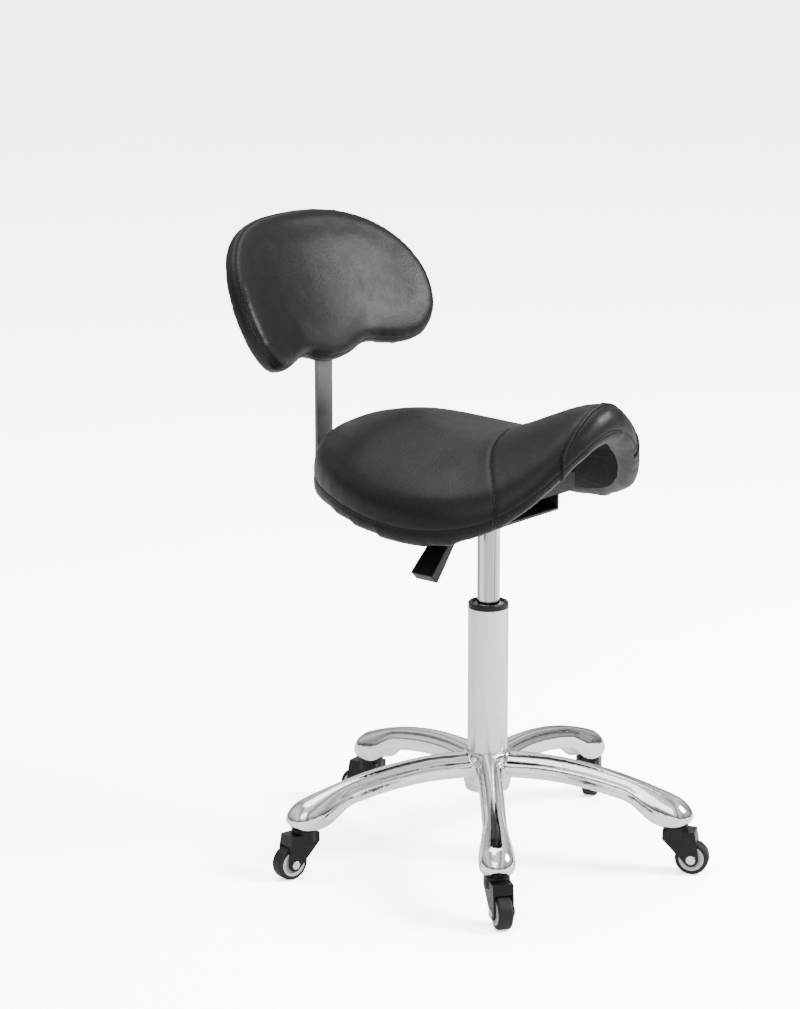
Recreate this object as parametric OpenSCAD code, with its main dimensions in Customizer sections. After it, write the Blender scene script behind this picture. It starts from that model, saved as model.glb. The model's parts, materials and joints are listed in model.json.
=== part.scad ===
// Saddle stool with a backrest, on a five-legged cast base with swivel casters.
// +Z is up, the sitter faces -Y, and the origin is on the floor under the column.

/* [Base] */
// Distance from the column axis to each caster stem
base_radius = 240; // [220:1:260]
// Height of the underside of each leg's end boss
boss_bottom_z = 62; // [61:1:65]
// Height of the top of the hub
hub_top_z = 137; // [133:1:141]
// Height of the underside of the hub
hub_bottom_z = 86; // [84:1:88]
// Width of a leg halfway along
leg_w = 29; // [26:1:32]
// Depth of a leg's channel section
leg_depth = 29; // [26:1:32]
// Radius of the rounded end of a leg
leg_end_r = 22; // [21:1:23]
// Turn of the base about the column, in degrees
base_turn = -138.5; // [-180:0.5:180]

/* [Column] */
// Outside diameter of the column tube
column_d = 50; // [50:1:50]
// Height of the top of the column tube
column_top_z = 320; // [315:1:323]
// Diameter of the gas spring's cylinder
gas_d = 28; // [28:1:28]
// Diameter of the piston rod
rod_d = 10; // [10:1:10]

/* [Casters] */
// Diameter of a caster wheel
wheel_d = 42; // [41:1:43]
// Width of a caster wheel
wheel_w = 19; // [18:1:20]
// Distance of the axle behind the swivel axis
trail = 21; // [20:1:22]
// Diameter of the stem in the leg
stem_d = 11; // [11:1:11]

/* [Seat] */
// Length of the seat in front of the column
seat_front = 187; // [182:1:192]
// Length of the seat behind the column
seat_rear = 239; // [234:1:241]
// Width of the seat
seat_w = 345; // [336:1:352]
// Height of the middle of the saddle
seat_z = 546; // [544:1:552]
// Rise of the pommel above the middle
pommel_rise = 56; // [48:1:62]
// Thickness of the seat at its middle and back
seat_t = 58; // [56:1:60]
// Thickness of the seat at its front edge
nose_t = 45; // [40:1:48]
// Thickness of the plywood shell
shell_t = 11; // [10:1:12]

/* [Backrest] */
// Distance of the backrest bar behind the column
bar_y = 267; // [257:1:277]
// Width of the backrest bar
bar_w = 30; // [28:1:32]
// Thickness of the backrest bar
bar_t = 5; // [5:0.5:5]
// Height at which the bar leans back
bar_bend_z = 588; // [580:1:596]
// Recline of the backrest, in degrees
recline = 28.5; // [24:0.5:30]
// Radius of the backrest's wrap around the sitter
wrap_r = 425; // [400:5:460]
// Half of the width of the backrest
back_half_w = 173; // [167:1:179]
// Height of the backrest
back_h = 198; // [191:1:205]
// Drop of the backrest's lower edge below the start of its recline
back_drop = 22; // [16:1:26]
// Thickness of the backrest at its edge
back_t = 28; // [26:1:34]

/* [Lever] */
// Width of the lever's paddle
paddle_w = 33; // [28:1:34]
// Length of the lever's paddle
paddle_l = 98; // [88:1:100]
// Slope of the paddle below level, in degrees
paddle_slope = 46; // [40:1:50]

/* [Hidden] */
$fn = 64;
eps = 0.01;
fit = 0.05;      // radial clearance of a running fit
gap = 0.3;       // gap between curved faces
legs = 5;

// Column and gas spring
column_r = column_d / 2;
column_wall = 2;
column_bore_r = column_r - column_wall;
column_bottom_z = hub_bottom_z + 2;
ring_h = 6.5;
collar_r = 19.5;         // collar of the guide bush, inside the ring
gas_r = gas_d / 2;
rod_r = rod_d / 2;
gas_bottom_z = 213;
gas_top_z = 446;
taper_z = 421;
taper_top_r = 13.2;
gas_wall = 1.5;
valve_r = 4;
valve_top_z = 451.7;
plate_z = 92;            // underside of the column's end plate
plate_t = 4;
race_t = 1.9;
race_r = 12;
ball_r = 2;
balls = 12;
race_z = plate_z + plate_t + fit;
ball_z = race_z + race_t + ball_r + fit;
upper_race_z = ball_z + ball_r + fit;
rod_top_z = 256;
piston_h = 14;

// Caster, in its own frame: swivel axis at 0, trailing along +X
axle_z = wheel_d / 2;
fork_gap = 0.8;
fork_t = 2.5;
fork_in = wheel_w / 2 + fork_gap;
fork_out = fork_in + fork_t;
hood_r = wheel_d / 2 + 2;
swivel_top_z = boss_bottom_z - 1.6;
swivel_bottom_z = 46;
swivel_r = 15.5;
journal_r = 5;
axle_r = 3;
rim_r = 15.5;
trail_turn = [-125, -62, 25, 98, 165];

// Mechanism under the seat
tray_w = 110;
tray_l = 130;
tray_z = 443;
steel = 3;
pad_z = 465;             // flat underside of the shell's mounting pad
pad_w = 160;
pad_front = 70;
pad_rear = 150;
bolt_x = 68;
bolt_y = 50;
bolt_r = 3;
lever_x = -30;
lever_z = 454;
lever_pin_r = 2.5;
lever_t = 4;
lever_half_w = 8;
bar_z = 452;
bar_front_y = 75;
bar_turn_r = 18;
bar_lean_r = 40;
bar_rise = 150;          // length of the leaning part of the bar
guide_y = 92;
guide_l = 50;
guide_wall = 3;
guide_screw_x = 30;
knob_y = guide_y + guide_l / 2;
knob_r = 17;
stud_r = 4;

// Backrest, in its own frame: X across, Y up along the bar, Z towards the sitter
sleeve_wall = 2;
cover_t = 1.5;
board_t = 9;
cover_n = bar_t / 2 + 0.1 + sleeve_wall;
board_n = cover_n + cover_t;
pad_n = board_n + board_t;
board_inset = 14;
sleeve_y = 60;
sleeve_h = 60;
sleeve_screw_x = 27;

// ---------- Shared shapes ----------

// A tube or ring between two heights
module tube(r_out, r_in, z0, z1) {
    difference() {
        translate([0, 0, z0]) cylinder(r = r_out, h = z1 - z0);
        translate([0, 0, z0 - 1]) cylinder(r = r_in, h = z1 - z0 + 2);
    }
}

module disc(r, z0, z1) {
    translate([0, 0, z0]) cylinder(r = r, h = z1 - z0);
}

// A clamping knob with five lobes, its face at height 0 and its grip above
module knob_grip() {
    difference() {
        union() {
            cylinder(r = knob_r - 3, h = 15);
            for (i = [0:4])
                rotate([0, 0, i * 72]) translate([knob_r - 6, 0, 2]) cylinder(r = 6, h = 11);
        }
        translate([0, 0, -1]) cylinder(r = stud_r, h = 11);
    }
}

// Leg number i, and caster number i under it
module at_leg(i) {
    rotate([0, 0, base_turn + i * 360 / legs]) children();
}

function leg_angle(i) = base_turn + i * 360 / legs;

module at_caster(i) {
    translate([base_radius * cos(leg_angle(i)), base_radius * sin(leg_angle(i)), 0])
        rotate([0, 0, trail_turn[i]]) children();
}

// ---------- Base ----------

// Height of a leg's top edge at distance s from the column axis
function leg_top(s) = hub_top_z - 1 - 0.00108 * pow(max(0, s - 50), 2);

// Half width of a leg at distance s
function leg_half(s) = leg_w / 2 + 3 * exp(-pow((s - 30) / 35, 2));

leg_steps = [for (i = [0:14]) 20 + i * (base_radius - 5 - 20) / 14];

// Solid leg, thinner all round by the given wall
module leg_bar(wall, depth, s_max) {
    steps = [for (s = leg_steps) if (s <= s_max) s];
    side = concat(
        [for (s = steps) [s, leg_top(s) - wall]],
        [for (k = [len(steps) - 1:-1:0]) [steps[k], leg_top(steps[k]) - depth]]
    );
    plan = concat(
        [for (s = steps) [s, leg_half(s) - wall]],
        [for (k = [len(steps) - 1:-1:0]) [steps[k], wall - leg_half(steps[k])]]
    );
    intersection() {
        rotate([90, 0, 0]) linear_extrude(height = 60, center = true) polygon(side);
        linear_extrude(height = 200) polygon(plan);
    }
}

module leg() {
    difference() {
        union() {
            leg_bar(0, leg_depth, base_radius);
            translate([base_radius, 0, boss_bottom_z + leg_end_r - 3]) sphere(r = leg_end_r);
            translate([base_radius, 0, boss_bottom_z]) cylinder(r = 15, h = 18);
        }
        leg_bar(4.5, leg_depth + 10, base_radius - 22);
        translate([base_radius, 0, boss_bottom_z - 10]) cylinder(r = 30, h = 10);
    }
}

module base_star() color([0.86, 0.87, 0.88]) {
    difference() {
        union() {
            for (i = [0:legs - 1]) at_leg(i) leg();
            rotate_extrude() polygon([
                [0, hub_bottom_z], [27, hub_bottom_z], [30, hub_bottom_z + 20],
                [30.5, hub_top_z - 8], [28.5, hub_top_z], [0, hub_top_z]
            ]);
        }
        translate([0, 0, column_bottom_z]) cylinder(r = column_r, h = 100);
        translate([0, 0, hub_bottom_z - 1]) cylinder(r = column_r - 4, h = 10);
        for (i = [0:legs - 1])
            at_leg(i) translate([base_radius, 0, boss_bottom_z - 1]) cylinder(d = stem_d, h = 34);
    }
}

module column_tube() color([0.82, 0.83, 0.85])
    tube(column_r, column_bore_r, column_bottom_z, column_top_z);

// Plastic ring capping the tube, round the collar of the guide bush
module column_ring() color([0.10, 0.10, 0.11])
    tube(column_r, collar_r, column_top_z, column_top_z + ring_h);

module guide_bush() color([0.85, 0.85, 0.80]) {
    difference() {
        union() {
            disc(column_bore_r, column_top_z - 60, column_top_z);
            disc(collar_r, column_top_z - 1, column_top_z + ring_h - 3);
        }
        disc(gas_r + fit, column_top_z - 61, column_top_z + ring_h);
    }
}

module column_end_plate() color([0.55, 0.56, 0.58])
    tube(column_bore_r, rod_r + 0.3, plate_z, plate_z + plate_t);

module bearing_lower_race() color([0.70, 0.71, 0.73])
    tube(race_r, rod_r + 0.3, race_z, race_z + race_t);

module bearing_balls() color([0.75, 0.76, 0.78]) {
    for (i = [0:balls - 1])
        rotate([0, 0, i * 360 / balls]) translate([race_r - 3.2, 0, ball_z]) sphere(r = ball_r);
}

// Stem with its grip ring: top in the leg, collar under the boss, journal in the fork
module caster_stem(i) color([0.72, 0.73, 0.75]) at_caster(i) {
    difference() {
        union() {
            disc(stem_d / 2, boss_bottom_z, boss_bottom_z + 32);
            disc(8.5, boss_bottom_z - 1.5, boss_bottom_z);
            disc(journal_r, swivel_bottom_z - 0.2, boss_bottom_z - 1);
            disc(7, swivel_bottom_z - 2.2, swivel_bottom_z - 0.2);
        }
        tube(stem_d, stem_d / 2 - 0.6, boss_bottom_z + 22, boss_bottom_z + 25);
    }
}

// ---------- Gas spring ----------

module piston_rod() color([0.80, 0.81, 0.83]) {
    difference() {
        disc(rod_r, plate_z - 5, rod_top_z);
        tube(rod_r + 1, rod_r - 1, plate_z - 2.5, plate_z - 1);
    }
}

module piston_head() color([0.60, 0.60, 0.62])
    tube(gas_r - gas_wall - fit, rod_r, rod_top_z - piston_h, rod_top_z);

module bearing_upper_race() color([0.70, 0.71, 0.73])
    tube(race_r, rod_r, upper_race_z, upper_race_z + race_t);

module retaining_clip() color([0.35, 0.35, 0.37])
    tube(rod_r + 4, rod_r - 1, plate_z - 2.5, plate_z - 1);

// Pressure cylinder with its tapered, solid top end
module gas_cylinder() color([0.80, 0.81, 0.83]) {
    difference() {
        union() {
            disc(gas_r, gas_bottom_z, taper_z);
            translate([0, 0, taper_z])
                cylinder(r1 = gas_r, r2 = taper_top_r, h = gas_top_z - taper_z);
        }
        translate([0, 0, gas_bottom_z - 1])
            cylinder(r = gas_r - gas_wall, h = taper_z - 9 - gas_bottom_z);
        translate([0, 0, gas_top_z - 13]) cylinder(r = valve_r + fit, h = 20);
    }
}

module gas_seal() color([0.12, 0.12, 0.13])
    tube(gas_r - gas_wall, rod_r + fit, gas_bottom_z, gas_bottom_z + 14);

module valve_pin() color([0.70, 0.71, 0.73])
    disc(valve_r, gas_top_z - 8, valve_top_z);

// ---------- Seat ----------

// 0 up to 1, level at both ends
function ease(t) = let (k = min(1, max(0, t))) k * k * (3 - 2 * k);

// Height of the saddle's top surface. It rises to the pommel, dips behind it, rounds off
// at the back, and falls away to both sides, more steeply towards the pommel.
function ridge(y) = seat_z + pommel_rise * ease(-y / 183) + 1.5 * ease(y / 116)
    - 0.0018 * pow(max(0, y - 100), 2);
function side_slope(y) = 0.49 + 0.47 * ease(-y / 170);
function side_round(y) = 81 - 41 * ease(-y / 150);
function saddle_z(p) = ridge(p.y)
    - side_slope(p.y) * (sqrt(p.x * p.x + pow(side_round(p.y), 2)) - side_round(p.y));

// Thickness of the whole seat
function seat_depth(p) = seat_t + (nose_t - seat_t) * ease(-p.y / 170);

// Plan outline of the seat at angle a, and a point a given way in from it
function seat_edge(a) = [seat_w / 2 * cos(a), (sin(a) < 0 ? seat_front : seat_rear) * sin(a)];
function seat_in(a, inset) = seat_edge(a) * max(0, 1 - inset / norm(seat_edge(a)));

// One saddle-shaped solid. Each entry of rings is [inset, share of the depth, millimetres
// below that], from the middle of the top, over the edge, to the middle of the underside.
// Every layer is split into triangles along the same lines, so that the layers stay parallel.
seat_steps = 44;
module saddle_solid(rings) {
    n = seat_steps;
    m = len(rings);
    points = [
        for (ring = rings, j = [0:n - 1])
            let (p = seat_in(j * 360 / n, ring[0]))
                [p.x, p.y, saddle_z(p) - seat_depth(p) * ring[1] - ring[2]]
    ];
    walls = [
        for (i = [0:m - 2], j = [0:n - 1])
            let (a = i * n + j, b = i * n + (j + 1) % n)
                each rings[i + 1][0] > rings[i][0]
                    ? [[a, b, a + n], [b, b + n, a + n]]
                    : [[a, b, b + n], [a, b + n, a + n]]
    ];
    last = (m - 1) * n;
    bottom = [for (t = cap_triangles) [last + t[2], last + t[1], last + t[0]]];
    polyhedron(points, concat(cap_triangles, walls, bottom), convexity = 6);
}

// Triangles across a ring, in strips from side to side
cap_triangles = [
    for (k = [-seat_steps / 4:seat_steps / 4 - 1])
        let (right = (k + seat_steps) % seat_steps, left = seat_steps / 2 - k)
            each concat(
                right == left ? [] : [[(right + 1) % seat_steps, right, left]],
                (right + 1) % seat_steps == left - 1 ? []
                    : [[(right + 1) % seat_steps, left, left - 1]]
            )
];

crown = [150, 120, 90, 60, 38];          // insets of the rings across the top
shoulder = 20;                           // rounding where the top meets the side
lip = 24;                                // width of the cover turned under the edge

module seat_cushion() color([0.09, 0.09, 0.10])
    saddle_solid(concat(
        [for (inset = crown) [inset, 0, 0]],
        [for (a = [0:30:90]) [shoulder * (1 - sin(a)), 0, shoulder * (1 - cos(a))]],
        [[0, 1, -10], [3, 1, -3], [10, 1, 0], [lip, 1, 0]],
        [for (inset = [lip + eps, 70, 110, 150]) [inset, 1, -shell_t - 2]]
    ));

// Insets of the shell's rings, from its middle to its edge
shell_rings = [150, 110, 70, lip + 1];

// Slice of the saddle between two distances above the seat's underside
module saddle_slice(above_top, above_bottom) {
    saddle_solid(concat(
        [for (inset = shell_rings) [inset, 1, -above_top]],
        [for (k = [3:-1:0]) [shell_rings[k], 1, -above_bottom]]
    ));
}

module mounting_pad() {
    intersection() {
        translate([-pad_w / 2, -pad_front, pad_z]) cube([pad_w, pad_front + pad_rear, 120]);
        saddle_slice(shell_t, -60);
    }
}

module at_plate_bolts() {
    for (x = [-bolt_x, bolt_x], y = [-bolt_y, bolt_y]) translate([x, y, 0]) children();
}

module at_guide_screws() {
    for (x = [-guide_screw_x, guide_screw_x], y = [guide_y + 10, guide_y + guide_l - 10])
        translate([x, y, 0]) children();
}

module seat_shell() color([0.10, 0.09, 0.09]) {
    difference() {
        union() {
            saddle_slice(shell_t + 1.4, 1.4);
            mounting_pad();
        }
        at_plate_bolts() disc(bolt_r + 1.5, pad_z - 1, pad_z + 15);
        at_guide_screws() disc(2.5, pad_z - 1, pad_z + 15);
    }
}

// Fabric closing the underside round the mounting pad
module seat_dust_cover() color([0.13, 0.13, 0.14]) {
    difference() {
        saddle_slice(1.2, 0.2);
        translate([-pad_w / 2 - gap, -pad_front - gap, 0])
            cube([pad_w + 2 * gap, pad_front + pad_rear + 2 * gap, 1000]);
    }
}

// Pressed steel tray with the taper socket, open at its front and rear ends
module seat_plate() color([0.14, 0.14, 0.15]) {
    difference() {
        union() {
            translate([-tray_w / 2, -tray_l / 2, tray_z]) cube([tray_w, tray_l, steel]);
            for (side = [-1, 1]) {
                translate([side * (tray_w - steel) / 2 - steel / 2, -tray_l / 2, tray_z])
                    cube([steel, tray_l, pad_z - tray_z]);
                translate([side > 0 ? tray_w / 2 - steel : -tray_w / 2 - 25 + steel,
                           -tray_l / 2, pad_z - steel])
                    cube([25, tray_l, steel]);
                translate([lever_x - 5, side > 0 ? 10 : -13, tray_z + 1]) cube([10, 3, 16]);
            }
            disc(20, taper_z + 2, tray_z + steel);
        }
        translate([0, 0, taper_z])
            cylinder(r1 = gas_r + 0.02, r2 = taper_top_r + 0.02, h = gas_top_z - taper_z + eps);
        at_plate_bolts() disc(bolt_r + 0.3, pad_z - 10, pad_z + 1);
        translate([lever_x, 20, lever_z]) rotate([90, 0, 0]) cylinder(r = lever_pin_r, h = 40);
        translate([-tray_w / 2 - 5, -19, tray_z + steel + 1]) cube([12, 38, 15]);
    }
}

module plate_bolts() color([0.60, 0.61, 0.63]) {
    at_plate_bolts() {
        disc(bolt_r, pad_z - steel - 1, pad_z + 14);
        translate([0, 0, pad_z - steel - 4]) cylinder(r = 5.6, h = 4, $fn = 6);
    }
}

module plate_nuts() color([0.70, 0.68, 0.55]) {
    at_plate_bolts() tube(bolt_r + 1.5, bolt_r, pad_z, pad_z + 12);
}

// Sleeve that guides the bar, hung under the pad by its two flanges
module bar_guide() color([0.14, 0.14, 0.15]) {
    inner_w = bar_w + 0.4;
    half_in = bar_t / 2 + 0.15;
    difference() {
        union() {
            translate([-inner_w / 2 - guide_wall, guide_y, bar_z - half_in - guide_wall])
                cube([inner_w + 2 * guide_wall, guide_l, pad_z - bar_z + half_in + guide_wall]);
            translate([-38, guide_y, pad_z - guide_wall]) cube([76, guide_l, guide_wall]);
            translate([0, knob_y, bar_z - half_in - guide_wall - 6])
                cylinder(r = 8, h = 7, $fn = 6);
        }
        translate([-inner_w / 2, guide_y - 1, bar_z - half_in])
            cube([inner_w, guide_l + 2, 2 * half_in]);
        translate([-inner_w / 2, guide_y - 1, bar_z + half_in + guide_wall])
            cube([inner_w, guide_l + 2, pad_z]);
        at_guide_screws() disc(2.7, pad_z - 10, pad_z + 1);
        translate([0, knob_y, bar_z - 20]) cylinder(r = stud_r + fit, h = 20);
    }
}

module bar_guide_screws() color([0.60, 0.61, 0.63]) {
    at_guide_screws() {
        disc(2.5, pad_z - guide_wall - 1, pad_z + 14);
        disc(4.5, pad_z - guide_wall - 3, pad_z - guide_wall);
    }
}

// ---------- Lever ----------

module lever_pivot_pin() color([0.70, 0.71, 0.73])
    translate([lever_x, 13.5, lever_z]) rotate([90, 0, 0]) cylinder(r = lever_pin_r, h = 27);

// The bend of the lever's strip, and the line that the paddle follows from there
bend = [lever_x - 26, lever_z];

module along_paddle() {
    translate([bend.x, 0, bend.y]) rotate([0, 180 - paddle_slope, 0]) children();
}

// Side view of the flat strip, bent down towards the paddle
module strip_side(length) {
    way = [-cos(paddle_slope), -sin(paddle_slope)];
    side = lever_t / 2 * [-sin(paddle_slope), cos(paddle_slope)];
    corner = lever_t / 2 * [-tan(paddle_slope / 2), 1];
    polygon([
        [lever_x + 38, lever_z - lever_t / 2], [lever_x + 38, lever_z + lever_t / 2],
        bend + corner, bend + length * way + side, bend + length * way - side, bend - corner
    ]);
}

module lever_blank() {
    rotate([90, 0, 0]) linear_extrude(height = 2 * lever_half_w, center = true) strip_side(30);
    translate([lever_x, lever_half_w + 1, lever_z]) rotate([90, 0, 0])
        cylinder(r = 5.5, h = 2 * lever_half_w + 2);
}

module lever_arm() color([0.50, 0.51, 0.53]) {
    difference() {
        lever_blank();
        translate([lever_x, 20, lever_z]) rotate([90, 0, 0])
            cylinder(r = lever_pin_r + fit, h = 40);
    }
}

module lever_paddle() color([0.07, 0.07, 0.08]) {
    difference() {
        along_paddle() hull() {
            translate([9, 0, 0]) cube([2, 22, 9], center = true);
            translate([45, 0, 0]) cube([2, paddle_w - 4, 8], center = true);
            translate([paddle_l - 3, 0, 0]) cube([6, paddle_w, 15], center = true);
        }
        lever_blank();
    }
}

// ---------- Backrest ----------

// Points of an arc about a centre
function arc(centre, r, a0, a1, n) =
    [for (i = [0:n]) let (a = a0 + (a1 - a0) * i / n) centre + r * [cos(a), sin(a)]];

// Outline of the bar in the Y, Z plane: under the seat, up behind it, and leaning back
module bar_outline() {
    low = [bar_y - bar_turn_r, bar_z + bar_turn_r];
    high = [bar_y + bar_lean_r, bar_bend_z];
    up = [sin(recline), cos(recline)];
    top = lean_start() + bar_rise * up;
    side = bar_t / 2 * [cos(recline), -sin(recline)];
    polygon(concat(
        [[bar_front_y, bar_z - bar_t / 2]],
        arc(low, bar_turn_r + bar_t / 2, -90, 0, 8),
        arc(high, bar_lean_r - bar_t / 2, 180, 180 - recline, 4),
        [top + side, top - side],
        arc(high, bar_lean_r + bar_t / 2, 180 - recline, 180, 4),
        arc(low, bar_turn_r - bar_t / 2, 0, -90, 8),
        [[bar_front_y, bar_z + bar_t / 2]]
    ));
}

// Where the leaning part of the bar starts
function lean_start() = [
    bar_y + bar_lean_r * (1 - cos(recline)), bar_bend_z + bar_lean_r * sin(recline)
];

module back_bar() color([0.62, 0.62, 0.63])
    rotate([90, 0, 90]) linear_extrude(height = bar_w, center = true) bar_outline();

// The backrest's own frame: X across, Y up along the bar, Z towards the sitter
module at_backrest() {
    translate([0, lean_start().x, lean_start().y]) rotate([90 - recline, 0, 0]) children();
}

// Right half of the outline, bottom to top, for a backrest 1 wide on each side and 1 high
half_outline = [
    [0.00, 0.003], [0.16, 0.018], [0.29, 0.058], [0.41, 0.055], [0.60, 0.00], [0.82, 0.002],
    [0.96, 0.139], [1.00, 0.33], [0.965, 0.51], [0.88, 0.67], [0.765, 0.79], [0.635, 0.875],
    [0.48, 0.94], [0.27, 0.985], [0.00, 1.00],
];

// Smooth curve through four neighbouring points
function between(p, q, r, s, t) = 0.5 * (2 * q + (r - p) * t
    + (2 * p - 5 * q + 4 * r - s) * t * t + (3 * q - p - 3 * r + s) * t * t * t);

function mirrored(p) = [-p.x, p.y];
full_outline = concat(half_outline,
    [for (k = [len(half_outline) - 2:-1:1]) mirrored(half_outline[k])]);
function outline_point(k) = full_outline[(k + len(full_outline)) % len(full_outline)];

// Points round the whole outline, pulled in by the given distance from the edge
function back_points(inset) = [
    for (k = [0:len(full_outline) - 1], t = [0, 0.5])
        let (p = between(outline_point(k - 1), outline_point(k), outline_point(k + 1),
                         outline_point(k + 2), t))
            [(back_half_w - inset) * p.x, inset + (back_h - 2 * inset) * p.y - back_drop]
];

// Layer of the backrest between two distances in front of the bar's middle, following the
// wrap round the sitter
module back_layer(inset, n0, n1) {
    intersection() {
        translate([0, 0, -20]) linear_extrude(height = 160)
            polygon(back_points(inset));
        translate([0, -back_drop - 10, wrap_r]) rotate([-90, 0, 0])
            tube(wrap_r - n0, wrap_r - n1, 0, back_h + 20, $fn = 180);
    }
}

// Rounded body of the backrest. Each ring is [inset, share of the outline's size, distance in
// front of the bar's middle], from the middle of the front, over the edge, to the back.
module back_solid(rings) {
    n = len(back_points(0));
    m = len(rings);
    mid = back_h / 2 - back_drop;
    points = [
        for (ring = rings, p = back_points(ring[0]))
            let (x = ring[1] * p.x, y = mid + ring[1] * (p.y - mid))
                [x, y, wrap_r - sqrt(pow(wrap_r - ring[2], 2) - x * x)]
    ];
    triangles = [
        for (i = [0:m - 2], j = [0:n - 1])
            let (a = i * n + j, b = i * n + (j + 1) % n)
                each [[a, b, b + n], [a, b + n, a + n]]
    ];
    polyhedron(points, concat([[for (j = [n - 1:-1:0]) j]], triangles,
                              [[for (j = [0:n - 1]) (m - 1) * n + j]]), convexity = 6);
}

back_round = 14;                         // rounding of the backrest's front edge
front_n = cover_n + back_t;

module backrest_cushion() color([0.09, 0.09, 0.10]) at_backrest() {
    difference() {
        back_solid(concat(
            [for (share = [0.1, 0.3, 0.5, 0.7, 0.86]) [back_round, share, front_n]],
            [for (a = [0:22.5:90])
                [back_round * (1 - sin(a)), 1, front_n - back_round * (1 - cos(a))]],
            [[0, 1, cover_n + 5], [1.5, 1, cover_n + 1.5], [5, 1, cover_n]],
            [for (share = [0.8, 0.6, 0.4, 0.2]) [5, share, cover_n]]
        ));
        back_layer(board_inset - gap, cover_n - 5, pad_n + gap);
    }
}

module backrest_board() color([0.72, 0.56, 0.38]) at_backrest() {
    difference() {
        back_layer(board_inset, board_n, pad_n);
        at_bracket_screws() cylinder(r = 2.5, h = 10);
    }
}

module backrest_cover() color([0.12, 0.12, 0.13]) at_backrest() {
    difference() {
        back_layer(board_inset, cover_n, board_n);
        at_bracket_screws() cylinder(r = 2.5, h = 10);
    }
}

module at_bracket_screws() {
    for (x = [-sleeve_screw_x, sleeve_screw_x], y = [sleeve_y + 9, sleeve_y + sleeve_h - 9])
        translate([x, y, 3.1]) children();
}

// Sleeve that rides on the bar, with a curved flange against the back cover
module height_bracket() color([0.14, 0.14, 0.15]) at_backrest() {
    inner_w = bar_w + 0.4;
    half_in = bar_t / 2 + 0.1;
    mid_y = sleeve_y + sleeve_h / 2;
    difference() {
        union() {
            intersection() {
                translate([-36, sleeve_y, 0]) cube([72, sleeve_h, 20]);
                translate([0, 0, wrap_r]) rotate([-90, 0, 0])
                    tube(wrap_r - cover_n + sleeve_wall, wrap_r - cover_n, 0, 200, $fn = 180);
            }
            translate([-inner_w / 2 - 2.5, sleeve_y, -half_in - 2.5])
                cube([inner_w + 5, sleeve_h, 2 * half_in + 3.5]);
            translate([0, mid_y, -half_in - 8.5]) cylinder(r = 8, h = 7, $fn = 6);
        }
        translate([-inner_w / 2, sleeve_y - 1, -half_in])
            cube([inner_w, sleeve_h + 2, 2 * half_in]);
        translate([0, mid_y, -20]) cylinder(r = stud_r + fit, h = 20);
        at_bracket_screws() translate([0, 0, -5]) cylinder(r = 2.6, h = 20);
    }
}

module bracket_screws() color([0.60, 0.61, 0.63]) at_backrest() at_bracket_screws() {
    cylinder(r = 2.5, h = 9.5);
    translate([0, 0, -2.2]) cylinder(r = 4.5, h = 2.2);
}

// ---------- Knobs ----------

// Depth knob hangs under the guide, height knob stands behind the bracket
module at_depth_knob() {
    translate([0, knob_y, bar_z - bar_t / 2]) rotate([180, 0, 0]) children();
}

module at_height_knob() {
    at_backrest() translate([0, sleeve_y + sleeve_h / 2, -bar_t / 2]) rotate([180, 0, 0])
        children();
}

knob_reach = 12;         // from the bar's face to the grip

module stud() {
    translate([0, 0, 0.15]) cylinder(r = stud_r, h = knob_reach + 10 - 0.15);
}

module depth_knob() color([0.07, 0.07, 0.08])
    at_depth_knob() translate([0, 0, knob_reach]) knob_grip();

module depth_knob_stud() color([0.60, 0.61, 0.63]) at_depth_knob() stud();

module height_knob() color([0.07, 0.07, 0.08])
    at_height_knob() translate([0, 0, knob_reach]) knob_grip();

module height_knob_stud() color([0.60, 0.61, 0.63]) at_height_knob() stud();

// ---------- Casters ----------

// Puts a shape drawn about Z on the axle, across the caster
module on_axle() {
    translate([trail, 0, axle_z]) rotate([90, 0, 0]) children();
}

// Side view of the fork: the block round the swivel and the cheeks running down to the axle
module fork_side() {
    hull() {
        translate([trail, axle_z]) circle(r = 9);
        polygon([[-15, 45], [-15, 57], [25, 56], [27, 45]]);
    }
}

module caster_fork(i) color([0.08, 0.08, 0.09]) at_caster(i) {
    difference() {
        union() {
            rotate([90, 0, 0]) linear_extrude(height = 2 * fork_out, center = true) fork_side();
            disc(swivel_r, swivel_bottom_z, swivel_top_z);
        }
        on_axle() cylinder(r = hood_r, h = 2 * fork_in, center = true);
        disc(journal_r + fit, 0, 100);
        disc(8, 0, swivel_bottom_z);
        on_axle() cylinder(r = axle_r, h = 60, center = true);
    }
}

// Bolt with its head on one side and a nut on the other
module caster_axle(i) color([0.78, 0.79, 0.80]) at_caster(i) on_axle() {
    cylinder(r = axle_r, h = 2 * fork_out + 5, center = true);
    disc(5.7, fork_out, fork_out + 2.5);
    translate([0, 0, -fork_out - 2.5]) cylinder(r = 5.6, h = 2.5, $fn = 6);
}

// Half section of the wheel's hub and rim, proud of the tyre's side
module wheel_core(i) color([0.72, 0.73, 0.74]) at_caster(i) on_axle() {
    half = wheel_w / 2;
    rotate_extrude() polygon([
        [axle_r + fit, -half], [7, -half], [8, -half + 2], [11, -half + 2], [11.5, -half],
        [rim_r, -half], [rim_r, half], [11.5, half], [11, half - 2], [8, half - 2],
        [7, half], [axle_r + fit, half]
    ]);
}

module wheel_tyre(i) color([0.10, 0.10, 0.11]) at_caster(i) on_axle() {
    half = wheel_w / 2 - 0.4;
    round = 3.5;
    r = wheel_d / 2;
    rotate_extrude() polygon(concat(
        [[rim_r, -half]],
        arc([r - round, round - half], round, -90, 0, 6),
        arc([r - round, half - round], round, 0, 90, 6),
        [[rim_r, half]]
    ));
}

// ---------- Assembly ----------

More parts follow.
